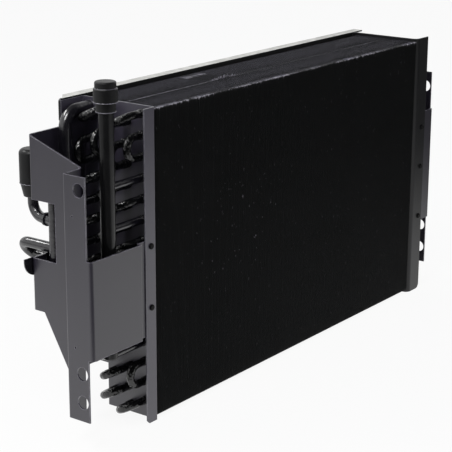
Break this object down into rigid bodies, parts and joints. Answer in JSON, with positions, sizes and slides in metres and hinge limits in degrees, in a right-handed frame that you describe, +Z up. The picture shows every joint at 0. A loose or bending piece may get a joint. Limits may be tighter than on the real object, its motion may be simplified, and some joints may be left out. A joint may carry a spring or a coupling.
{
  "type": "condenser coil",
  "caption": "Finned tube condenser coil with end plates, pipe headers, capped pipe fittings, a rear top rail and folded side mounting brackets.",
  "frame": {"origin": "middle of the bottom of the part's box, on the plane of the end plates' lower edges", "axes": "+X along the tubes from the pipe side to the plain side, +Y from the front fin face to the rear, +Z up"},
  "size_m": [0.7774, 0.1582, 0.4265],
  "materials": {
    "coated_fins": "black epoxy coated thin fins",
    "coil_tube": "gloss black lacquer on copper",
    "end_plate": "satin dark grey powder coat",
    "bracket_sheet": "satin charcoal powder coat",
    "rail_sheet": "pale satin zinc",
    "black_pipe": "gloss black lacquer",
    "fitting_black": "satin black",
    "screw_steel": "dark satin"
  },
  "bodies": {
    "root": {"fin_slab_front": "coated_fins", "fin_slab_rear": "coated_fins", "hairpins_upper": "coil_tube", "hairpins_row_1": "coil_tube", "hairpins_row_2": "coil_tube", "hairpins_row_3": "coil_tube", "hairpins_row_4": "coil_tube", "return_bends_top": "coil_tube", "return_bends_upright": "coil_tube", "return_bends_rows_1_2": "coil_tube", "return_bends_rows_2_3": "coil_tube", "return_bends_rows_3_4": "coil_tube", "return_bends_bottom": "coil_tube", "end_plate_left": "end_plate", "end_plate_right": "end_plate", "left_bracket": "bracket_sheet", "right_bracket": "bracket_sheet", "pipe_support": "bracket_sheet", "rear_top_rail": "rail_sheet", "front_header": "black_pipe", "front_header_stubs": "black_pipe", "rear_header": "black_pipe", "rear_header_stubs": "black_pipe", "rear_header_caps": "black_pipe", "crossover_pipe": "black_pipe", "fitting_pipe": "black_pipe", "fitting_ring": "black_pipe", "loop_pipe": "black_pipe", "front_collar": "fitting_black", "front_nut": "fitting_black", "front_cap": "fitting_black", "fitting_body": "fitting_black", "fitting_cap": "fitting_black", "left_flange_screws": "screw_steel", "right_flange_screws": "screw_steel"}
  },
  "joints": []
}
